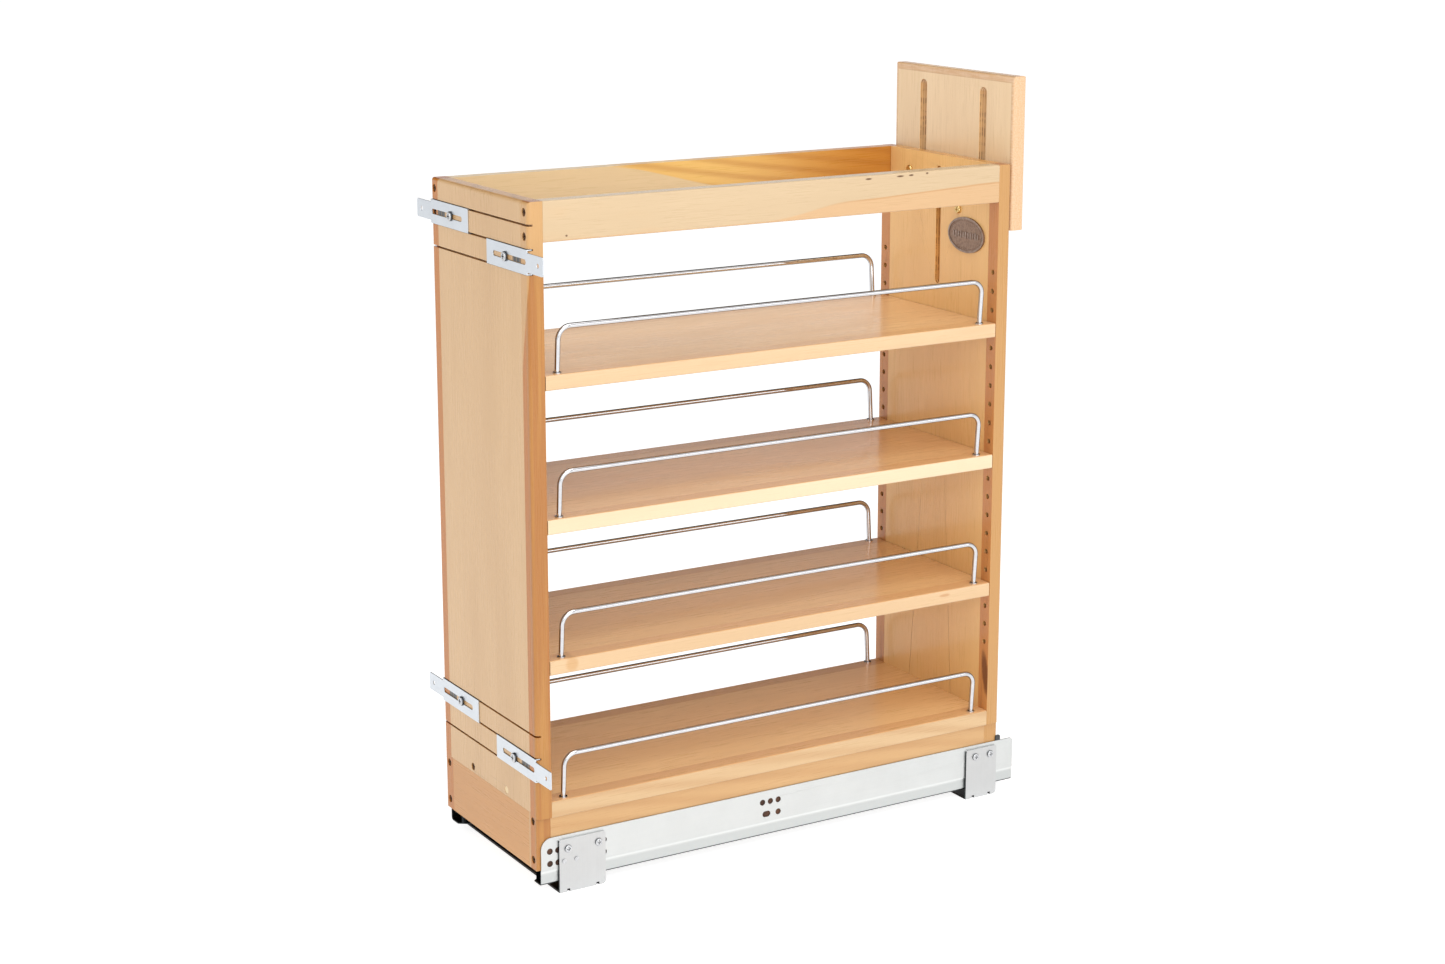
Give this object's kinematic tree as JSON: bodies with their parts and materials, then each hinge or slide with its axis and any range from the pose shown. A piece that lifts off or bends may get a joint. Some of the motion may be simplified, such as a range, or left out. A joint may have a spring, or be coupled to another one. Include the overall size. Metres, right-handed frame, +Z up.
{
  "type": "pull-out pantry organizer",
  "caption": "Tall narrow wooden pull-out pantry organizer for a base cabinet, with railed shelves, full-extension slides, door brackets and a height-adjustable rear panel.",
  "frame": {"origin": "on the floor plane, at the centre of the four floor screw holes", "axes": "+X to the right seen from the front, +Z up, -Y towards the user, which is the direction the carrier pulls out"},
  "size_m": [0.2626, 0.5532, 0.737],
  "materials": {
    "birch_plywood": "clear satin lacquer over light plywood veneer",
    "maple": "clear satin lacquer over solid light hardwood",
    "chrome_wire": "bright chrome plate",
    "zinc_plate": "pale zinc plate",
    "bracket_zinc": "light grey zinc plate",
    "brass": "yellow passivated",
    "brown_screw": "dark brown",
    "bronze_badge": "satin bronze, no marking",
    "black_plastic": "moulded",
    "grey_plastic": "moulded",
    "white_nylon": "moulded"
  },
  "bodies": {
    "base": {"cabinet_profile_left": "zinc_plate", "cabinet_profile_right": "zinc_plate", "front_floor_bracket": "bracket_zinc", "rear_floor_bracket": "bracket_zinc", "bracket_screws": "bracket_zinc", "bracket_rivets": "bracket_zinc", "soft_close_units": "grey_plastic", "rear_caps": "black_plastic"},
    "intermediate_profiles": {"intermediate_profile_left": "zinc_plate", "intermediate_profile_right": "zinc_plate"},
    "lower_carriages": {"lower_carriage_left": "white_nylon", "lower_carriage_right": "white_nylon"},
    "upper_carriages": {"upper_carriage_left": "white_nylon", "upper_carriage_right": "white_nylon"},
    "upper_shelf_unit": {"upper_shelf": "birch_plywood", "upper_shelf_edges": "maple", "upper_rail_left": "chrome_wire", "upper_rail_right": "chrome_wire"},
    "middle_shelf_unit": {"middle_shelf": "birch_plywood", "middle_shelf_edges": "maple", "middle_rail_left": "chrome_wire", "middle_rail_right": "chrome_wire"},
    "lower_shelf_unit": {"lower_shelf": "birch_plywood", "lower_shelf_edges": "maple", "lower_rail_left": "chrome_wire", "lower_rail_right": "chrome_wire"},
    "extension": {"extension_panel": "birch_plywood", "guide_bolt": "brass"},
    "door_bracket_upper_left": {"door_bracket_upper_left": "bracket_zinc"},
    "door_bracket_upper_right": {"door_bracket_upper_right": "bracket_zinc"},
    "door_bracket_lower_left": {"door_bracket_lower_left": "bracket_zinc"},
    "door_bracket_lower_right": {"door_bracket_lower_right": "bracket_zinc"},
    "release_lever_left": {"release_lever_left": "grey_plastic"},
    "release_lever_right": {"release_lever_right": "grey_plastic"},
    "carrier": {"badge": "bronze_badge", "base_panel": "birch_plywood", "bottom_rail_left": "chrome_wire", "bottom_rail_right": "chrome_wire", "bottom_shelf": "birch_plywood", "bottom_shelf_edges": "maple", "brass_screws": "brass", "door_clamp_screws": "bracket_zinc", "drawer_profile_left": "zinc_plate", "drawer_profile_right": "zinc_plate", "front_base_board": "birch_plywood", "front_panel": "birch_plywood", "front_stile_left": "maple", "front_stile_right": "maple", "locking_device_left": "grey_plastic", "locking_device_right": "grey_plastic", "rear_panel": "birch_plywood", "rear_stile_left": "maple", "rear_stile_right": "maple", "shelf_support_wires": "chrome_wire", "side_skirt_left": "maple", "side_skirt_right": "maple", "soft_close_strikers": "black_plastic", "top_apron_left": "maple", "top_apron_right": "maple", "wood_screws": "brown_screw"}
  },
  "joints": [
    {"name": "pull_out", "type": "slide", "parent": "base", "child": "carrier", "axis": [0, -1, 0], "range_m": [0, 0.5]},
    {"name": "intermediate_run", "type": "slide", "parent": "base", "child": "intermediate_profiles", "axis": [0, -1, 0], "range_m": [0, 0.25]},
    {"name": "lower_carriage_run", "type": "slide", "parent": "base", "child": "lower_carriages", "axis": [0, -1, 0], "range_m": [0, 0.125]},
    {"name": "upper_carriage_run", "type": "slide", "parent": "base", "child": "upper_carriages", "axis": [0, -1, 0], "range_m": [0, 0.375]},
    {"name": "upper_shelf_slide", "type": "slide", "parent": "carrier", "child": "upper_shelf_unit", "axis": [1, 0, 0], "range_m": [0, 0.19]},
    {"name": "middle_shelf_slide", "type": "slide", "parent": "carrier", "child": "middle_shelf_unit", "axis": [1, 0, 0], "range_m": [0, 0.19]},
    {"name": "lower_shelf_slide", "type": "slide", "parent": "carrier", "child": "lower_shelf_unit", "axis": [1, 0, 0], "range_m": [0, 0.19]},
    {"name": "extension_height", "type": "slide", "parent": "carrier", "child": "extension", "axis": [0, 0, 1], "range_m": [-0.085, 0.025]},
    {"name": "door_bracket_upper_left_adjust", "type": "slide", "parent": "carrier", "child": "door_bracket_upper_left", "axis": [-1, 0, 0], "range_m": [-0.018, 0.022]},
    {"name": "door_bracket_upper_right_adjust", "type": "slide", "parent": "carrier", "child": "door_bracket_upper_right", "axis": [1, 0, 0], "range_m": [-0.018, 0.022]},
    {"name": "door_bracket_lower_left_adjust", "type": "slide", "parent": "carrier", "child": "door_bracket_lower_left", "axis": [-1, 0, 0], "range_m": [-0.018, 0.022]},
    {"name": "door_bracket_lower_right_adjust", "type": "slide", "parent": "carrier", "child": "door_bracket_lower_right", "axis": [1, 0, 0], "range_m": [-0.018, 0.022]},
    {"name": "release_lever_left_press", "type": "hinge", "parent": "carrier", "child": "release_lever_left", "pos_m": [-0.0545, -0.23475, 0.0313], "axis": [0, 0, -1], "range_deg": [0, 12], "stiffness_Nm_per_rad": 0.05},
    {"name": "release_lever_right_press", "type": "hinge", "parent": "carrier", "child": "release_lever_right", "pos_m": [0.0545, -0.23475, 0.0313], "axis": [0, 0, 1], "range_deg": [0, 12], "stiffness_Nm_per_rad": 0.05}
  ],
  "couplings": [
    {"joint": "intermediate_run", "follows": "pull_out", "ratio": 0.5},
    {"joint": "lower_carriage_run", "follows": "pull_out", "ratio": 0.25},
    {"joint": "upper_carriage_run", "follows": "pull_out", "ratio": 0.75}
  ]
}
